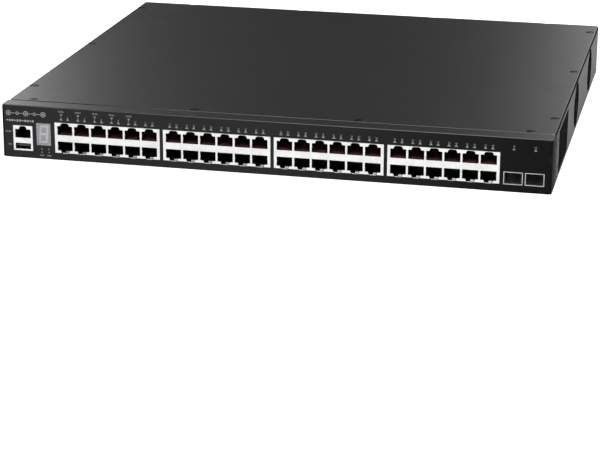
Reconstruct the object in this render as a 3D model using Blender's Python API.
"""Rackmount network switch, one rack unit high.

Lengths here are millimetres, turned into metres when a mesh is made. The origin is the middle of the case's
bottom face: -Y is the port side, +X is to the right of somebody who faces the ports, and +Z is up.
"""

import math

import bmesh
import bpy
from mathutils import Matrix

MM = 0.001

# Case. Touching pieces keep GAP between them.
WIDTH, DEPTH, HEIGHT = 440.0, 390.0, 43.2
SIDE, FRONT, REAR = WIDTH / 2, -DEPTH / 2, DEPTH / 2
SHEET = 0.8
FACE_SHEET = 1.0
GAP = 0.3
FACE_ROUND = 0.9
FACE_INNER = FRONT + FACE_SHEET
FACE_END = SIDE - 1.4
COVER_BOTTOM = HEIGHT - SHEET
LEDGE_TOP = COVER_BOTTOM - GAP
LEDGE_BOTTOM = LEDGE_TOP - SHEET
STRIP_DEPTH = 14.5
STRIP_BACK = FRONT + STRIP_DEPTH
FRONT_LEDGE_BACK = STRIP_BACK + 14.5
FRONT_LEDGE_HALF = 204.0
COVER_HALF, COVER_GROOVE = SIDE - 0.8, 0.5
PANEL_ENDS = REAR - FACE_SHEET - GAP

# Side sheets: a step in at the top, below the edge of the cover, then the ledge that carries the cover
STEP_TOP, STEP_IN, STEP_ROUND = 41.0, 1.2, 0.4
SIDE_LEDGE_INNER = SIDE - 12.0

# Twelve-port jack blocks, two rows of six
BLOCKS = 4
BLOCK_LEFT, BLOCK_PITCH, BLOCK_WIDTH = -176.4, 89.8, 87.0
BLOCK_BOTTOM, BLOCK_TOP, BLOCK_DEPTH = 5.9, 30.9, 28.0
COLUMNS, COLUMN_PITCH, FIRST_COLUMN = 6, 14.0, 8.5
SKIN = 0.3
SKIN_FRONT = FRONT + 0.1
MOUTH_HALF, MOUTH_HEIGHT = 6.1, 7.4
UPPER_FLOOR, LOWER_ROOF = 20.8, 15.4
LATCH_HALF, LATCH_TIP_HALF, LATCH_RISE, LATCH_CORNER = 3.6, 2.0, 2.2, 1.1
JACK_DEPTH = 18.0

# Management jack above a USB socket
COMBO_LEFT, COMBO_RIGHT, COMBO_TOP = -211.4, -195.2, 26.5
COMBO_DEPTH = 26.0
CONSOLE_X, CONSOLE_FLOOR, CONSOLE_HEIGHT = -203.3, 16.4, 7.0
USB_HALF, USB_BOTTOM, USB_TOP, USB_DEPTH = 6.15, 7.35, 12.0, 15.0

# Status display: left, right, bottom, top, then the depth of the board behind its window
DISPLAY, DISPLAY_DEPTH = (-191.8, -179.9, 11.2, 29.4), 6.0

# Uplink cages
UPLINKS = (190.4, 206.9)
CAGE_HALF, CAGE_BOTTOM, CAGE_TOP, CAGE_DEPTH, CAGE_WALL = 7.3, 5.9, 15.8, 48.0, 0.35

# Main board
BOARD_BOTTOM, BOARD_TOP = 4.0, 5.6
BOARD_HALF, BOARD_REAR, BOARD_NOTCH = 212.0, -30.0, (150.0, -60.0)
SWITCH_CHIP, PROCESSOR_CHIP, PHY_SINKS = (30.0, -95.0), (-150.0, -100.0), ((-70.0, -110.0), (120.0, -110.0))
BOSS_RADIUS, BOSS_HEIGHT = 3.0, 2.9

# Cover screws: countersunk, flush with the cover
SCREW_HEAD, SCREW_SHANK, SCREW_LENGTH, HEAD_DEPTH = 2.6, 1.25, 5.0, 1.4
LEDGE_HOLE = 2.0
FRONT_SCREWS_X, FRONT_SCREWS_Y = (-200.5, -66.0, 66.0, 200.5), FRONT + 20.0
SIDE_SCREWS_X, SIDE_SCREWS_Y = SIDE - 5.5, (FRONT + 61.0, FRONT + 211.5, FRONT + 362.0)
REAR_NOTCHES_X, NOTCH_HALF, NOTCH_DEPTH = (-171.0, -64.0, 64.0, 171.0), 3.0, 2.5

# Side openings
VENT_START, VENT_BOTTOM = FRONT + 49.0, 6.5
VENT_PITCH, VENT_HOLE, VENT_COLUMNS, VENT_ROWS = 8.4, 3.7, 8, 5
EAR_HOLES = ((FRONT + 25.0, 11.0), (FRONT + 25.0, 32.0), (FRONT + 39.0, 11.0), (FRONT + 39.0, 32.0))
EAR_HOLE_RADIUS = 1.7
INTAKE_SLOTS, INTAKE_PITCH = 10, 8.0
INTAKE_HALF_WIDTH, INTAKE_HALF_HEIGHT = 2.0, 12.0

# Fans, blowing through the right side
FAN_SIZE, FAN_DEPTH = 40.0, 28.0
FANS_Y, FAN_Z = (FRONT + 187.0, FRONT + 308.0), SHEET + GAP + FAN_SIZE / 2
FAN_OUTER = SIDE - SHEET - STEP_IN - GAP
FAN_INNER = FAN_OUTER - FAN_DEPTH
FAN_BORE, BLADE_TIP, HUB_RADIUS = 18.8, 18.2, 9.5
BLADES = 7
MOUNT_DEPTH, STRUT_HALF = 3.4, 1.2
GRILLE_BANDS = ((1.8, 5.4), (6.6, 11.8), (13.0, 18.6))
SPOKE_WIDTH = 1.8

# Power supply, rear left. Pairs are (low, high) along one axis; places are (x, y).
POWER_LEFT, POWER_RIGHT, POWER_FRONT, POWER_REAR = -206.0, -100.0, 10.0, 165.0
BOBBIN_X, BOBBIN_Y, BOBBIN_HEIGHT = (-150.0, -118.0), (50.0, 84.0), 5.0
CORE_X, CORE_Y, CORE_LIFT, CORE_HEIGHT = (-146.0, -122.0), (46.0, 88.0), 3.0, 26.0
CAPACITORS, CAPACITOR_RADIUS, CAPACITOR_HEIGHT = ((-190.0, 60.0), (-168.0, 60.0)), 9.0, 29.8
SINK_X, SINK_Y, SINK_HEIGHT, SINK_FOOT, SINK_TOP = -105.0, (25.0, 125.0), 28.0, 3.0, 12.0
CHOKE, CHOKE_OUTER, CHOKE_INNER, CHOKE_HEIGHT = (-170.0, 110.0), 12.0, 4.0, 16.0
INLET_X, INLET_Z, INLET_FLANGE, INLET_BODY = -165.0, 21.0, (15.5, 12.0), (13.5, 9.8)

# Rear panel
BACKUP_X, BACKUP_Z, BACKUP_BODY, BACKUP_WALL = 10.0, 21.0, (12.0, 6.0), 1.4
BAY_LEFT, BAY_RIGHT, BAY_BOTTOM, BAY_TOP = 72.0, 178.0, 7.0, 37.0
GUIDE_THICK, GUIDE_LENGTH, GUIDE_TOP = 2.0, 110.0, 30.0
PLATE_MARGIN = 13.0
THUMBSCREWS_X = (BAY_LEFT - 7.0, BAY_RIGHT + 7.0)
THUMBSCREW_Z = (BAY_BOTTOM + BAY_TOP) / 2
GROUND_X, GROUND_Z = -60.0, 12.0


for old in list(bpy.data.objects):
    bpy.data.objects.remove(old, do_unlink=True)


def material(name, colour, roughness, metallic=0.0):
    """A plain Principled material."""
    made = bpy.data.materials.new(name)
    made.use_nodes = True
    shader = made.node_tree.nodes["Principled BSDF"]
    shader.inputs["Base Color"].default_value = (*colour, 1.0)
    shader.inputs["Roughness"].default_value = roughness
    shader.inputs["Metallic"].default_value = metallic
    return made


POWDER_COAT = material("powder_coat", (0.015, 0.015, 0.016), 0.5)
ZINC = material("zinc_steel", (0.72, 0.73, 0.74), 0.35, 1.0)
BLACK_ZINC = material("black_zinc_steel", (0.05, 0.05, 0.055), 0.4, 1.0)
TIN = material("tin_plate", (0.85, 0.85, 0.84), 0.3, 1.0)
BLACK_PLASTIC = material("black_plastic", (0.02, 0.02, 0.022), 0.5)
WINDOW_PLASTIC = material("window_plastic", (0.55, 0.56, 0.58), 0.3)
CLEAR_PLASTIC = material("clear_plastic", (0.85, 0.87, 0.88), 0.15)
BOARD_GREEN = material("board_green", (0.02, 0.16, 0.07), 0.45)
HEAT_SINK = material("heat_sink_black", (0.03, 0.03, 0.035), 0.45, 0.9)
BARE_ALUMINIUM = material("bare_aluminium", (0.75, 0.76, 0.77), 0.4, 1.0)
CHIP = material("chip_epoxy", (0.03, 0.03, 0.03), 0.6)
TRANSFORMER_TAPE = material("transformer_tape", (0.75, 0.55, 0.06), 0.5)
CAPACITOR_SLEEVE = material("capacitor_sleeve", (0.02, 0.03, 0.07), 0.35)
COPPER_WINDING = material("copper_winding", (0.62, 0.26, 0.1), 0.4, 0.8)
CABLE_JACKET = material("cable_jacket", (0.25, 0.02, 0.02), 0.5)


def box(shape, x, y, z):
    """Adds a box to a bmesh; x, y and z are (low, high) pairs."""
    size = [(pair[1] - pair[0]) * MM for pair in (x, y, z)]
    middle = [(pair[0] + pair[1]) / 2 * MM for pair in (x, y, z)]
    matrix = Matrix.Translation(middle) @ Matrix.Diagonal((*size, 1.0))
    bmesh.ops.create_cube(shape, size=1.0, matrix=matrix)


def placed(axis, across, along):
    """The metre point at `across` in the plane that is square to `axis`, and `along` on the axis."""
    u, v = across
    point = {"X": (along, u, v), "Y": (u, along, v), "Z": (u, v, along)}[axis]
    return tuple(value * MM for value in point)


def skin(shape, rings, endless=False):
    """Walls between rings of points, with a face over each end; endless joins the last ring to the first."""
    made = [[shape.verts.new(point) for point in ring] for ring in rings]
    pairs = list(zip(made, made[1:]))
    if endless:
        pairs.append((made[-1], made[0]))
    else:
        shape.faces.new(made[0])
        shape.faces.new(made[-1])
    count = len(made[0])
    for near, far in pairs:
        for i in range(count):
            j = (i + 1) % count
            shape.faces.new((near[i], near[j], far[j], far[i]))


def prism(shape, axis, outline, low, high):
    """Adds the solid swept by a flat outline from `low` to `high` along an axis."""
    skin(shape, [[placed(axis, point, at) for point in outline] for at in (low, high)])


def circle(u, v, radius, sides, turn=0.0):
    """Points around a circle in a plane."""
    angles = [turn + 2 * math.pi * i / sides for i in range(sides)]
    return [(u + radius * math.cos(a), v + radius * math.sin(a)) for a in angles]


def arc(u, v, radius, start, end, steps):
    """Points along an arc, with both ends; angles in degrees."""
    angles = [math.radians(start + (end - start) * i / steps) for i in range(steps + 1)]
    return [(u + radius * math.cos(a), v + radius * math.sin(a)) for a in angles]


def cone(shape, axis, across, low, high, radius_low, radius_high, sides=20):
    """Adds a cone, or a cylinder if its radii are the same."""
    lathe(shape, axis, across, [(radius_low, low), (radius_high, high)], sides)


def lathe(shape, axis, across, profile, sides=20, endless=False):
    """Adds a solid turned around an axis; profile is (radius, along) pairs, and endless makes it a ring."""
    rings = [[placed(axis, point, at) for point in circle(*across, radius, sides)] for radius, at in profile]
    skin(shape, rings, endless)


def finish_object(name, shape, look=None, origin=None):
    """Turns a bmesh into an object, with its origin at `origin` (mm) when one is given."""
    bmesh.ops.recalc_face_normals(shape, faces=shape.faces)
    if origin:
        offset = [-value * MM for value in origin]
        bmesh.ops.translate(shape, verts=shape.verts, vec=offset)
    mesh = bpy.data.meshes.new(name)
    shape.to_mesh(mesh)
    shape.free()
    made = bpy.data.objects.new(name, mesh)
    bpy.context.collection.objects.link(made)
    if origin:
        made.location = [value * MM for value in origin]
    if look:
        mesh.materials.append(look)
    return made


def rounded(made, degrees=40):
    """Smooth shading, with edges sharper than `degrees` kept."""
    made.data.shade_smooth()
    made.data.set_sharp_from_angle(angle=math.radians(degrees))
    return made


def cut(made, cutter_shape, operation="DIFFERENCE"):
    """Cuts a cutter out of an object, or joins it on with UNION."""
    cutter = finish_object(f"{made.name}_{operation.lower()}_{len(made.modifiers)}", cutter_shape)
    cutter.hide_render = True
    cutter.display_type = "WIRE"
    modifier = made.modifiers.new(cutter.name, "BOOLEAN")
    modifier.operation = operation
    modifier.solver = "EXACT"
    modifier.object = cutter


def join(made, added_shape):
    """Joins a shape onto an object."""
    cut(made, added_shape, "UNION")


def block_left(index):
    return BLOCK_LEFT + BLOCK_PITCH * index


def column_x(index, column):
    return block_left(index) + FIRST_COLUMN + COLUMN_PITCH * column


def mouth(x, edge, up, half=MOUTH_HALF, height=MOUTH_HEIGHT, rise=LATCH_RISE, latch=LATCH_HALF):
    """A jack's mouth from the front: a rectangle from `edge`, with its latch notch towards `up` (1 or -1)."""
    shoulder = edge + up * height
    tip = shoulder + up * rise
    right = [(half, edge), (half, shoulder), (latch, shoulder)]
    right += [(latch, tip - up * LATCH_CORNER), (LATCH_TIP_HALF, tip)]
    left = [(-u, v) for u, v in reversed(right)]
    return [(x + u, v) for u, v in right + left]


def jack_mouths(shape, index, front, back, grow=0.0, rise=LATCH_RISE):
    """The twelve mouths of one block, as cutters."""
    for column in range(COLUMNS):
        x = column_x(index, column)
        for edge, up in ((UPPER_FLOOR - grow, 1), (LOWER_ROOF + grow, -1)):
            outline = mouth(x, edge, up, MOUTH_HALF + grow, MOUTH_HEIGHT + 2 * grow, rise, LATCH_HALF + grow)
            prism(shape, "Y", outline, front, back)


def boss_places():
    """Where the floor's pressed bosses carry the main board and the power board."""
    main = [(x, y) for x in (-200.0, -70.0, 70.0, 200.0) for y in (-160.0, -40.0)]
    power = [(x, y) for x in (POWER_LEFT + 5, POWER_RIGHT - 5) for y in (POWER_FRONT + 5, POWER_REAR - 5)]
    return main + power


def cover_screw_places():
    front = [(x, FRONT_SCREWS_Y) for x in FRONT_SCREWS_X]
    sides = [(side * SIDE_SCREWS_X, y) for y in SIDE_SCREWS_Y for side in (-1, 1)]
    return front + sides


def chassis_floor():
    """Bottom sheet, with the bosses pressed up from it."""
    shape = bmesh.new()
    edge = SIDE - SHEET - GAP
    box(shape, (-edge, edge), (FACE_INNER + GAP, PANEL_ENDS), (0, SHEET))
    floor = finish_object("chassis_floor", shape, POWDER_COAT)
    bosses = bmesh.new()
    for place in boss_places():
        cone(bosses, "Z", place, SHEET / 2, SHEET + BOSS_HEIGHT, BOSS_RADIUS + 1.2, BOSS_RADIUS, 12)
    join(floor, bosses)


def fan_grille(shape, y):
    """Cutters for one guard: three bands of slots between four diagonal spokes."""
    for inner, outer in GRILLE_BANDS:
        for quarter in range(4):
            spoke_in = math.degrees(math.asin(SPOKE_WIDTH / 2 / inner))
            spoke_out = math.degrees(math.asin(SPOKE_WIDTH / 2 / outer))
            start = 45 + 90 * quarter
            far = arc(y, FAN_Z, outer, start + spoke_out, start + 90 - spoke_out, 6)
            near = arc(y, FAN_Z, inner, start + 90 - spoke_in, start + spoke_in, 3)
            prism(shape, "X", far + near, SIDE - 5, SIDE + 5)


def vent(shape, low, high):
    """Cutters for the staggered vent near the front."""
    row_pitch = VENT_PITCH * math.sqrt(3) / 2
    for row in range(VENT_ROWS):
        shift = VENT_PITCH / 2 * (row % 2)
        for column in range(VENT_COLUMNS):
            place = (VENT_START + VENT_PITCH * column + shift, VENT_BOTTOM + row_pitch * row)
            prism(shape, "X", circle(*place, VENT_HOLE, 6, math.pi / 6), low, high)


def side_panel(name, side):
    """Side sheet, stepped in at its top and bent to a ledge for the cover. side is 1 for the right."""
    web = SIDE - SHEET
    recess = SIDE - STEP_IN
    outline = [(SIDE, 0)]
    outline += arc(SIDE - STEP_ROUND, STEP_TOP - STEP_ROUND, STEP_ROUND, 0, 90, 3)
    outline += [(recess, STEP_TOP), (recess, LEDGE_TOP), (SIDE_LEDGE_INNER, LEDGE_TOP)]
    outline += [(SIDE_LEDGE_INNER, LEDGE_BOTTOM), (recess - SHEET, LEDGE_BOTTOM)]
    outline += [(recess - SHEET, STEP_TOP - SHEET), (web, STEP_TOP - SHEET), (web, 0)]
    shape = bmesh.new()
    prism(shape, "Y", [(side * x, z) for x, z in outline], FACE_INNER + GAP, PANEL_ENDS)
    panel = finish_object(name, shape, POWDER_COAT)
    through = sorted((side * (SIDE + 5), side * (SIDE - 5)))
    holes = bmesh.new()
    vent(holes, *through)
    for place in EAR_HOLES:
        cone(holes, "X", place, *through, EAR_HOLE_RADIUS, EAR_HOLE_RADIUS, 12)
    if side > 0:
        for y in FANS_Y:
            fan_grille(holes, y)
    else:
        for y in FANS_Y:
            for i in range(INTAKE_SLOTS):
                middle = y + INTAKE_PITCH * (i - (INTAKE_SLOTS - 1) / 2)
                across = (middle - INTAKE_HALF_WIDTH, middle + INTAKE_HALF_WIDTH)
                box(holes, through, across, (FAN_Z - INTAKE_HALF_HEIGHT, FAN_Z + INTAKE_HALF_HEIGHT))
    cut(panel, holes)
    screw_holes = bmesh.new()
    for y in SIDE_SCREWS_Y:
        ledge_hole(screw_holes, (side * SIDE_SCREWS_X, y))
    cut(panel, screw_holes)


def ledge_hole(shape, place):
    """Cutter for a cover screw's hole through a ledge."""
    cone(shape, "Z", place, LEDGE_BOTTOM - 1, LEDGE_TOP + 1, LEDGE_HOLE, LEDGE_HOLE, 12)


def front_panel():
    """Face sheet, turned back over the top as a strip, then stepped down to a ledge under the cover."""
    outline = [
        (FRONT, 0),
        (FRONT, HEIGHT),
        (STRIP_BACK, HEIGHT),
        (STRIP_BACK, LEDGE_TOP),
        (FRONT_LEDGE_BACK, LEDGE_TOP),
        (FRONT_LEDGE_BACK, LEDGE_BOTTOM),
        (STRIP_BACK - SHEET, LEDGE_BOTTOM),
        (STRIP_BACK - SHEET, COVER_BOTTOM),
        (FACE_INNER, COVER_BOTTOM),
        (FACE_INNER, 0),
    ]
    shape = bmesh.new()
    prism(shape, "X", outline, -SIDE, SIDE)
    at_front = [v for v in shape.verts if v.co.y < (FRONT + 0.1) * MM]
    edges = {e for v in at_front for e in v.link_edges if e.other_vert(v) in at_front}
    folded = [e for e in edges if max(v.co.z for v in e.verts) > 0.1 * MM]
    bmesh.ops.bevel(shape, geom=folded, offset=FACE_ROUND * MM, segments=3, affect="EDGES", profile=0.5)
    panel = finish_object("front_panel", shape, POWDER_COAT)
    holes = bmesh.new()
    through = (FRONT - 2, FACE_INNER + 1)
    for index in range(BLOCKS):
        left = block_left(index)
        box(holes, (left - GAP, left + BLOCK_WIDTH + GAP), through, (BLOCK_BOTTOM - GAP, BLOCK_TOP + GAP))
    box(holes, (COMBO_LEFT - GAP, COMBO_RIGHT + GAP), through, (BLOCK_BOTTOM - GAP, COMBO_TOP + GAP))
    left, right, bottom, top = DISPLAY
    box(holes, (left - GAP, right + GAP), through, (bottom - GAP, top + GAP))
    for x in UPLINKS:
        across = (x - CAGE_HALF - GAP, x + CAGE_HALF + GAP)
        box(holes, across, through, (CAGE_BOTTOM - GAP, CAGE_TOP + GAP))
    for x in FRONT_SCREWS_X:
        ledge_hole(holes, (x, FRONT_SCREWS_Y))
    for side in (-1, 1):
        across = sorted((side * FRONT_LEDGE_HALF, side * (SIDE + 2)))
        along = (STRIP_BACK - SHEET - GAP, FRONT_LEDGE_BACK + 2)
        box(holes, across, along, (LEDGE_BOTTOM - 1, COVER_BOTTOM - 0.05))
    cut(panel, holes)
    ends = bmesh.new()
    for side in (-1, 1):
        across = sorted((side * FACE_END, side * (SIDE + 2)))
        box(ends, across, (FRONT - 2, FACE_INNER + 0.05), (-1, COVER_BOTTOM - 0.4))
    cut(panel, ends)


def top_cover():
    """Flat cover, countersunk for its screws and notched at the rear."""
    shape = bmesh.new()
    box(shape, (-COVER_HALF, COVER_HALF), (STRIP_BACK + COVER_GROOVE, REAR), (COVER_BOTTOM, HEIGHT))
    cover = finish_object("top_cover", shape, POWDER_COAT)
    holes = bmesh.new()
    reach = 1.0
    for place in cover_screw_places():
        slope = (SCREW_HEAD - SCREW_SHANK) / HEAD_DEPTH
        wide = SCREW_HEAD + GAP + slope * reach
        narrow = SCREW_HEAD + GAP - slope * (SHEET + reach)
        cone(holes, "Z", place, COVER_BOTTOM - reach, HEIGHT + reach, narrow, wide, 16)
    for x in REAR_NOTCHES_X:
        along = (REAR - NOTCH_DEPTH, REAR + 1)
        box(holes, (x - NOTCH_HALF, x + NOTCH_HALF), along, (COVER_BOTTOM - 1, HEIGHT + 1))
    cut(cover, holes)


def rear_panel():
    """Rear sheet, with cut-outs for the inlet, the backup supply, the module bay and its screws."""
    shape = bmesh.new()
    box(shape, (-SIDE, SIDE), (REAR - FACE_SHEET, REAR), (0, LEDGE_TOP))
    panel = finish_object("rear_panel", shape, POWDER_COAT)
    holes = bmesh.new()
    through = (REAR - 3, REAR + 2)
    for x, z, body, gap in ((INLET_X, INLET_Z, INLET_BODY, 0.4), (BACKUP_X, BACKUP_Z, BACKUP_BODY, GAP)):
        half_x, half_z = body[0] + gap, body[1] + gap
        box(holes, (x - half_x, x + half_x), through, (z - half_z, z + half_z))
    box(holes, (BAY_LEFT, BAY_RIGHT), through, (BAY_BOTTOM, BAY_TOP))
    for x in THUMBSCREWS_X:
        cone(holes, "Y", (x, THUMBSCREW_Z), *through, 1.9, 1.9, 12)
    cone(holes, "Y", (GROUND_X, GROUND_Z), *through, 2.3, 2.3, 12)
    cut(panel, holes)


def cover_screw(number, place):
    """Countersunk machine screw, with a cross recess."""
    top = HEIGHT - 0.05
    shape = bmesh.new()
    profile = [
        (SCREW_HEAD, top),
        (SCREW_HEAD, top - 0.2),
        (SCREW_SHANK, top - HEAD_DEPTH),
        (SCREW_SHANK, top - SCREW_LENGTH),
    ]
    lathe(shape, "Z", place, profile, 14)
    screw = finish_object(f"cover_screw_{number}", shape, BLACK_ZINC)
    recess = bmesh.new()
    x, y = place
    arm, half, deep = 1.5, 0.3, 0.8
    cross = [(half, half), (half, arm), (-half, arm), (-half, half), (-arm, half), (-arm, -half)]
    cross += [(-half, -half), (-half, -arm), (half, -arm), (half, -half), (arm, -half), (arm, half)]
    prism(recess, "Z", [(x + u, y + v) for u, v in cross], top - deep, top + 1)
    cut(screw, recess)


def jack_block(index):
    """A plated shield, folded over the front and top, around one moulded twelve-port housing."""
    left = block_left(index)
    right = left + BLOCK_WIDTH
    back = SKIN_FRONT + BLOCK_DEPTH
    shape = bmesh.new()
    box(shape, (left, right), (SKIN_FRONT, back), (BLOCK_BOTTOM, BLOCK_TOP))
    shield = finish_object(f"jack_shield_{index + 1}", shape, TIN)
    hollow = bmesh.new()
    inner = (left + SKIN, right - SKIN)
    box(hollow, inner, (SKIN_FRONT + SKIN, back - SKIN), (BLOCK_BOTTOM - 2, BLOCK_TOP - SKIN))
    cut(shield, hollow)
    mouths = bmesh.new()
    jack_mouths(mouths, index, SKIN_FRONT - 1, SKIN_FRONT + SKIN + 0.4)
    cut(shield, mouths)

    housing_front = SKIN_FRONT + SKIN + GAP
    shape = bmesh.new()
    across = (left + SKIN + GAP, right - SKIN - GAP)
    box(shape, across, (housing_front, back - SKIN - GAP), (BLOCK_BOTTOM, BLOCK_TOP - SKIN - GAP))
    housing = finish_object(f"jack_housing_{index + 1}", shape, BLACK_PLASTIC)
    cavities = bmesh.new()
    jack_mouths(cavities, index, housing_front - 1, FRONT + JACK_DEPTH, grow=0.1, rise=LATCH_RISE + 1.1)
    cut(housing, cavities)


def console_and_usb():
    """Shared shield and moulded body of the management jack and the USB socket below it."""
    back = SKIN_FRONT + COMBO_DEPTH
    shape = bmesh.new()
    box(shape, (COMBO_LEFT, COMBO_RIGHT), (SKIN_FRONT, back), (BLOCK_BOTTOM, COMBO_TOP))
    shield = finish_object("console_usb_shield", shape, TIN)
    hollow = bmesh.new()
    inner = (COMBO_LEFT + SKIN, COMBO_RIGHT - SKIN)
    box(hollow, inner, (SKIN_FRONT + SKIN, back - SKIN), (BLOCK_BOTTOM - 2, COMBO_TOP - SKIN))
    cut(shield, hollow)
    latch_rise = 2.6
    usb = (CONSOLE_X - USB_HALF, CONSOLE_X + USB_HALF)
    mouths = bmesh.new()
    near = (SKIN_FRONT - 1, SKIN_FRONT + SKIN + 0.4)
    outline = mouth(CONSOLE_X, CONSOLE_FLOOR, 1, MOUTH_HALF, CONSOLE_HEIGHT, latch_rise, 3.3)
    prism(mouths, "Y", outline, *near)
    box(mouths, usb, near, (USB_BOTTOM, USB_TOP))
    cut(shield, mouths)

    body_front = SKIN_FRONT + SKIN + GAP
    shape = bmesh.new()
    across = (COMBO_LEFT + SKIN + GAP, COMBO_RIGHT - SKIN - GAP)
    box(shape, across, (body_front, back - SKIN - GAP), (BLOCK_BOTTOM, COMBO_TOP - SKIN - GAP))
    body = finish_object("console_usb_housing", shape, BLACK_PLASTIC)
    cavities = bmesh.new()
    outline = mouth(CONSOLE_X, CONSOLE_FLOOR, 1, MOUTH_HALF + 0.1, CONSOLE_HEIGHT, latch_rise + 1, 3.4)
    prism(cavities, "Y", outline, body_front - 1, FRONT + JACK_DEPTH)
    box(cavities, usb, (body_front - 1, FRONT + USB_DEPTH), (USB_BOTTOM, USB_TOP))
    cut(body, cavities)


def status_display():
    """Tinted window, and the board behind it that carries the digit and the small indicators."""
    left, right, bottom, top = DISPLAY
    shape = bmesh.new()
    box(shape, (left, right), (FRONT + 0.1, FRONT + 1.4), (bottom, top))
    window = finish_object("display_window", shape, WINDOW_PLASTIC)
    flange = bmesh.new()
    lip = 1.2
    flange_back = FACE_INNER + 1.3
    box(flange, (left - lip, right + lip), (FACE_INNER + GAP, flange_back), (bottom - lip, top + lip))
    join(window, flange)
    shape = bmesh.new()
    face = flange_back + GAP
    box(shape, (left - 0.5, right + 0.5), (face, face + DISPLAY_DEPTH), (BLOCK_BOTTOM, top + 1.0))
    finish_object("display_module", shape, BLACK_PLASTIC)


def port_light_guide():
    """Clear bar behind the port indicators, with one leg down behind each jack block."""
    top = BLOCK_TOP + 7.4
    shape = bmesh.new()
    across = (block_left(0), block_left(BLOCKS - 1) + BLOCK_WIDTH)
    box(shape, across, (FACE_INNER + GAP, FACE_INNER + 4.0), (BLOCK_TOP + 1.2, top))
    guide = finish_object("port_light_guide", shape, CLEAR_PLASTIC)
    legs = bmesh.new()
    behind = SKIN_FRONT + BLOCK_DEPTH + 1.5
    for index in range(BLOCKS):
        x = block_left(index) + BLOCK_WIDTH / 2
        box(legs, (x - 30, x + 30), (FACE_INNER + 2.0, behind + 2.5), (top - 3.0, top - 0.4))
        box(legs, (x - 29, x + 29), (behind, behind + 2.2), (BOARD_TOP + GAP, top - 1.2))
    join_overlapping(guide, legs)


def join_overlapping(made, added_shape):
    """Joins on a shape whose own boxes overlap each other."""
    join(made, added_shape)
    made.modifiers[-1].use_self = True


def uplink(number, x):
    """Folded metal cage, open at the front, with the board connector at its back."""
    back = FRONT + CAGE_DEPTH
    shape = bmesh.new()
    box(shape, (x - CAGE_HALF, x + CAGE_HALF), (SKIN_FRONT, back), (CAGE_BOTTOM, CAGE_TOP))
    cage = finish_object(f"uplink_cage_{number}", shape, TIN)
    inside = bmesh.new()
    across = (x - CAGE_HALF + CAGE_WALL, x + CAGE_HALF - CAGE_WALL)
    box(inside, across, (SKIN_FRONT - 1, back - CAGE_WALL), (CAGE_BOTTOM + CAGE_WALL, CAGE_TOP - CAGE_WALL))
    cut(cage, inside)
    slot = bmesh.new()
    box(slot, (x - 5.6, x + 5.6), (back - 12, back + 1), (CAGE_BOTTOM - 1, CAGE_BOTTOM + 1))
    cut(cage, slot)
    shape = bmesh.new()
    box(shape, (x - 5.2, x + 5.2), (back - 10.5, back - 1.5), (BOARD_TOP + GAP, CAGE_TOP - 3.2))
    connector = finish_object(f"uplink_connector_{number}", shape, BLACK_PLASTIC)
    card_slot = bmesh.new()
    box(card_slot, (x - 4.6, x + 4.6), (back - 12, back - 5.0), (10.2, 11.6))
    cut(connector, card_slot)


def board(name, x, y):
    """A bare circuit board."""
    shape = bmesh.new()
    box(shape, x, y, (BOARD_BOTTOM, BOARD_TOP))
    return finish_object(name, shape, BOARD_GREEN)


def chip(name, x, y, size, height):
    """A square chip package on the main board."""
    shape = bmesh.new()
    base = BOARD_TOP + GAP
    half = size / 2
    box(shape, (x - half, x + half), (y - half, y + half), (base, base + height))
    finish_object(name, shape, CHIP)
    return base + height


def heat_sink(name, x, y, size, base, height, fins, look):
    """Extruded fin block."""
    half = size / 2
    thick, plate = 1.0, 2.5
    shape = bmesh.new()
    outline = [(x - half, base), (x + half, base)]
    pitch = (size - thick) / (fins - 1)
    for i in reversed(range(fins)):
        left = x - half + pitch * i
        top = base + height
        outline += [(left + thick, base + plate), (left + thick, top), (left, top), (left, base + plate)]
    outline = [outline[0], outline[1], *outline[3:-1]]
    prism(shape, "Y", outline, y - half, y + half)
    finish_object(name, shape, look)


def main_electronics():
    """Main board, notched beside the front fan, with its chips and heat sinks."""
    main = board("main_board", (-BOARD_HALF, BOARD_HALF), (FACE_INNER + 1.2, BOARD_REAR))
    notch = bmesh.new()
    notch_left, notch_front = BOARD_NOTCH
    box(notch, (notch_left, BOARD_HALF + 5), (notch_front, BOARD_REAR + 5), (BOARD_BOTTOM - 1, BOARD_TOP + 1))
    cut(main, notch)
    top = chip("switch_chip", *SWITCH_CHIP, size=35, height=2.4)
    heat_sink("switch_heat_sink", *SWITCH_CHIP, size=60, base=top + GAP, height=18, fins=14, look=HEAT_SINK)
    base = BOARD_TOP + GAP
    for number, place in enumerate(PHY_SINKS, 1):
        name = f"phy_heat_sink_{number}"
        heat_sink(name, *place, size=42, base=base, height=12, fins=10, look=BARE_ALUMINIUM)
    chip("processor_chip", *PROCESSOR_CHIP, size=23, height=2.0)


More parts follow.
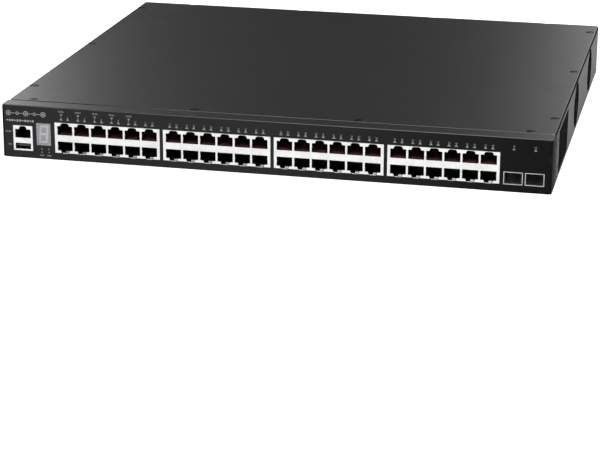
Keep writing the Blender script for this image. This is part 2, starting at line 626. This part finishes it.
def power_supply():
    """Open-frame supply: board, transformer, bulk capacitors, choke and heat-sink plate."""
    board("power_board", (POWER_LEFT, POWER_RIGHT), (POWER_FRONT, POWER_REAR))
    base = BOARD_TOP + GAP
    shape = bmesh.new()
    box(shape, BOBBIN_X, BOBBIN_Y, (base, base + BOBBIN_HEIGHT))
    transformer = finish_object("power_transformer", shape, TRANSFORMER_TAPE)
    core = bmesh.new()
    box(core, CORE_X, CORE_Y, (base + CORE_LIFT, base + CORE_HEIGHT))
    join(transformer, core)
    for number, place in enumerate(CAPACITORS, 1):
        shape = bmesh.new()
        full, bead, top = CAPACITOR_RADIUS, CAPACITOR_RADIUS - 0.3, base + CAPACITOR_HEIGHT
        profile = [(full - 0.4, base), (full, base + 0.5), (full, base + 2), (bead, base + 2.6)]
        profile += [(full, base + 3.2), (full, top - 0.8), (full - 0.5, top)]
        lathe(shape, "Z", place, profile, 18)
        rounded(finish_object(f"bulk_capacitor_{number}", shape, CAPACITOR_SLEEVE))
    shape = bmesh.new()
    web, top, plate = SINK_X - SINK_FOOT, base + SINK_HEIGHT, 2.0
    outline = [(web, base), (SINK_X, base), (SINK_X, top), (SINK_X - SINK_TOP, top)]
    outline += [(SINK_X - SINK_TOP, top - plate), (web, top - plate)]
    prism(shape, "Y", outline, *SINK_Y)
    finish_object("power_heat_sink", shape, BARE_ALUMINIUM)
    shape = bmesh.new()
    top = base + CHOKE_HEIGHT
    outer, inner = CHOKE_OUTER, CHOKE_INNER
    profile = [(outer - 1, base), (outer, base + 1), (outer, top - 1), (outer - 1, top)]
    profile += [(inner + 1, top), (inner, top - 1), (inner, base + 1), (inner + 1, base)]
    lathe(shape, "Z", CHOKE, profile, 20, endless=True)
    rounded(finish_object("mains_choke", shape, COPPER_WINDING))


def power_harness():
    """The bundle of leads that takes the supply's output to the main board."""
    start, end, rest_z, rise = (-95.0, 40.0), (-40.0, BOARD_REAR - 12), 9.0, 5.0
    points = 18
    curve = bpy.data.curves.new("power_harness", "CURVE")
    curve.dimensions = "3D"
    curve.bevel_depth = 2.2 * MM
    curve.bevel_resolution = 2
    curve.use_fill_caps = True
    spline = curve.splines.new("POLY")
    spline.points.add(points - 1)
    for i in range(points):
        t = i / (points - 1)
        ease = t * t * (3 - 2 * t)
        x = start[0] + (end[0] - start[0]) * ease
        y = start[1] + (end[1] - start[1]) * t
        z = rest_z + rise * math.sin(math.pi * t)
        spline.points[i].co = (x * MM, y * MM, z * MM, 1.0)
    made = bpy.data.objects.new("power_harness", curve)
    made.data.materials.append(CABLE_JACKET)
    bpy.context.collection.objects.link(made)


def fan(number, y):
    """Square frame with its motor mount on four struts, and the bladed rotor that turns inside it."""
    half = FAN_SIZE / 2
    shape = bmesh.new()
    box(shape, (FAN_INNER, FAN_OUTER), (y - half, y + half), (FAN_Z - half, FAN_Z + half))
    frame = finish_object(f"fan_frame_{number}", shape, BLACK_PLASTIC)
    bore = bmesh.new()
    cone(bore, "X", (y, FAN_Z), FAN_INNER + MOUNT_DEPTH, FAN_OUTER + 1, FAN_BORE, FAN_BORE, 32)
    cut(frame, bore)
    gaps = bmesh.new()
    edge_out = math.degrees(math.asin(STRUT_HALF / (FAN_BORE - 0.1)))
    edge_in = math.degrees(math.asin(STRUT_HALF / HUB_RADIUS))
    for quarter in range(4):
        start = 90 * quarter
        far = arc(y, FAN_Z, FAN_BORE - 0.1, start + edge_out, start + 90 - edge_out, 8)
        near = arc(y, FAN_Z, HUB_RADIUS, start + 90 - edge_in, start + edge_in, 4)
        prism(gaps, "X", far + near, FAN_INNER - 1, FAN_INNER + MOUNT_DEPTH + 0.2)
    cut(frame, gaps)
    holes = bmesh.new()
    for u in (-16, 16):
        for v in (-16, 16):
            cone(holes, "X", (y + u, FAN_Z + v), FAN_INNER - 1, FAN_OUTER + 1, 1.6, 1.6, 8)
    cut(frame, holes)

    axis = ((FAN_INNER + FAN_OUTER) / 2, y, FAN_Z)
    low, high = FAN_INNER + 5, FAN_OUTER - 2
    shape = bmesh.new()
    profile = [(HUB_RADIUS, low), (HUB_RADIUS, high - 1), (HUB_RADIUS - 1, high)]
    lathe(shape, "X", (y, FAN_Z), profile, 28)
    rotor = finish_object(f"fan_rotor_{number}", shape, BLACK_PLASTIC, axis)
    blades = bmesh.new()
    for i in range(BLADES):
        blade(blades, y, 2 * math.pi * i / BLADES, low + 2, high - 3)
    join(rotor, blades)


def blade(shape, y, angle, low, high):
    """One swept blade, thicker at its root, leaning from the hub's low end to its high end."""
    stations = 4
    lean, sweep, thick = 0.75, 0.35, 0.9
    rings = []
    for i in range(stations):
        t = i / (stations - 1)
        radius = HUB_RADIUS - 0.8 + (BLADE_TIP - HUB_RADIUS + 0.8) * t
        ring = []
        for along, turn in ((low, -lean / 2), (high, lean / 2)):
            for offset in (-1, 1):
                spread = offset * thick * (1.2 - 0.5 * t) / 2 / radius
                a = angle + sweep * t + turn * (1 - 0.25 * t) + spread
                ring.append(placed("X", (y + radius * math.cos(a), FAN_Z + radius * math.sin(a)), along))
        rings.append([ring[0], ring[1], ring[3], ring[2]])
    skin(shape, rings)


def mains_inlet():
    """Three-pin appliance inlet, snapped in from outside."""
    shape = bmesh.new()
    half_x, half_z = INLET_FLANGE
    along = (REAR + GAP, REAR + 2.6)
    box(shape, (INLET_X - half_x, INLET_X + half_x), along, (INLET_Z - half_z, INLET_Z + half_z))
    inlet = finish_object("mains_inlet", shape, BLACK_PLASTIC)
    body = bmesh.new()
    half_x, half_z = INLET_BODY
    along = (REAR - 20, REAR + 1.5)
    box(body, (INLET_X - half_x, INLET_X + half_x), along, (INLET_Z - half_z, INLET_Z + half_z))
    join(inlet, body)
    cavity = bmesh.new()
    half, high, corner = 12.1, 8.2, 4.5
    outline = [(-half, -high), (half, -high), (half, high - corner), (half - corner, high)]
    outline += [(corner - half, high), (-half, high - corner)]
    prism(cavity, "Y", [(INLET_X + x, INLET_Z + z) for x, z in outline], REAR - 14, REAR + 5)
    cut(inlet, cavity)


def backup_supply_connector():
    """Low-voltage connector for a redundant supply."""
    shape = bmesh.new()
    half_x, half_z = BACKUP_BODY
    along = (REAR - 18, REAR + 1.0)
    box(shape, (BACKUP_X - half_x, BACKUP_X + half_x), along, (BACKUP_Z - half_z, BACKUP_Z + half_z))
    connector = finish_object("backup_supply_connector", shape, BLACK_PLASTIC)
    cavity = bmesh.new()
    half_x, half_z = half_x - BACKUP_WALL, half_z - BACKUP_WALL
    along = (REAR - 12, REAR + 3)
    box(cavity, (BACKUP_X - half_x, BACKUP_X + half_x), along, (BACKUP_Z - half_z, BACKUP_Z + half_z))
    cut(connector, cavity)


def module_bay():
    """Guides for an expansion module, and the blank plate with its captive thumbscrews."""
    for name, edge, side in (("left", BAY_LEFT, -1), ("right", BAY_RIGHT, 1)):
        shape = bmesh.new()
        across = sorted((edge + side * 0.2, edge + side * (0.2 + GUIDE_THICK)))
        box(shape, across, (REAR - GUIDE_LENGTH, PANEL_ENDS - 0.5), (SHEET + GAP, GUIDE_TOP))
        finish_object(f"module_guide_{name}", shape, BLACK_PLASTIC)
    shape = bmesh.new()
    face = REAR + GAP
    across = (BAY_LEFT - PLATE_MARGIN, BAY_RIGHT + PLATE_MARGIN)
    box(shape, across, (face, face + FACE_SHEET), (BAY_BOTTOM - 3, BAY_TOP + 3))
    plate = finish_object("module_blank_plate", shape, POWDER_COAT)
    holes = bmesh.new()
    for x in THUMBSCREWS_X:
        cone(holes, "Y", (x, THUMBSCREW_Z), face - 2, face + 4, 2.2, 2.2, 16)
    cut(plate, holes)
    for number, x in enumerate(THUMBSCREWS_X, 1):
        thumbscrew(number, x, face + FACE_SHEET + GAP)


def thumbscrew(number, x, seat):
    """Knurled captive screw; its shank passes the plate into the rear panel."""
    origin = (x, seat, THUMBSCREW_Z)
    shape = bmesh.new()
    profile = [(1.4, REAR - 4), (1.4, seat), (4.0, seat), (4.0, seat + 7.0), (3.4, seat + 7.6)]
    lathe(shape, "Y", (x, THUMBSCREW_Z), profile, 20)
    screw = finish_object(f"thumbscrew_{number}", shape, ZINC, origin)
    slot = bmesh.new()
    box(slot, (x - 5, x + 5), (seat + 6.4, seat + 9), (THUMBSCREW_Z - 0.5, THUMBSCREW_Z + 0.5))
    cut(screw, slot)


def ground_screw():
    """Pan-head earth screw on the rear."""
    shape = bmesh.new()
    face = REAR + GAP
    profile = [(1.9, REAR - 5), (1.9, face), (4.0, face), (4.0, face + 1.8), (3.2, face + 2.6)]
    lathe(shape, "Y", (GROUND_X, GROUND_Z), profile, 18)
    screw = finish_object("ground_screw", shape, ZINC)
    slot = bmesh.new()
    box(slot, (GROUND_X - 3, GROUND_X + 3), (face + 1.6, face + 4), (GROUND_Z - 0.5, GROUND_Z + 0.5))
    cut(screw, slot)


chassis_floor()
side_panel("side_panel_right", 1)
side_panel("side_panel_left", -1)
front_panel()
rear_panel()
top_cover()
for screw_number, screw_place in enumerate(cover_screw_places(), 1):
    cover_screw(screw_number, screw_place)
for block in range(BLOCKS):
    jack_block(block)
console_and_usb()
status_display()
port_light_guide()
for uplink_number, uplink_x in enumerate(UPLINKS, 1):
    uplink(uplink_number, uplink_x)
main_electronics()
power_supply()
power_harness()
for fan_number, fan_y in enumerate(FANS_Y, 1):
    fan(fan_number, fan_y)
mains_inlet()
backup_supply_connector()
module_bay()
ground_screw()
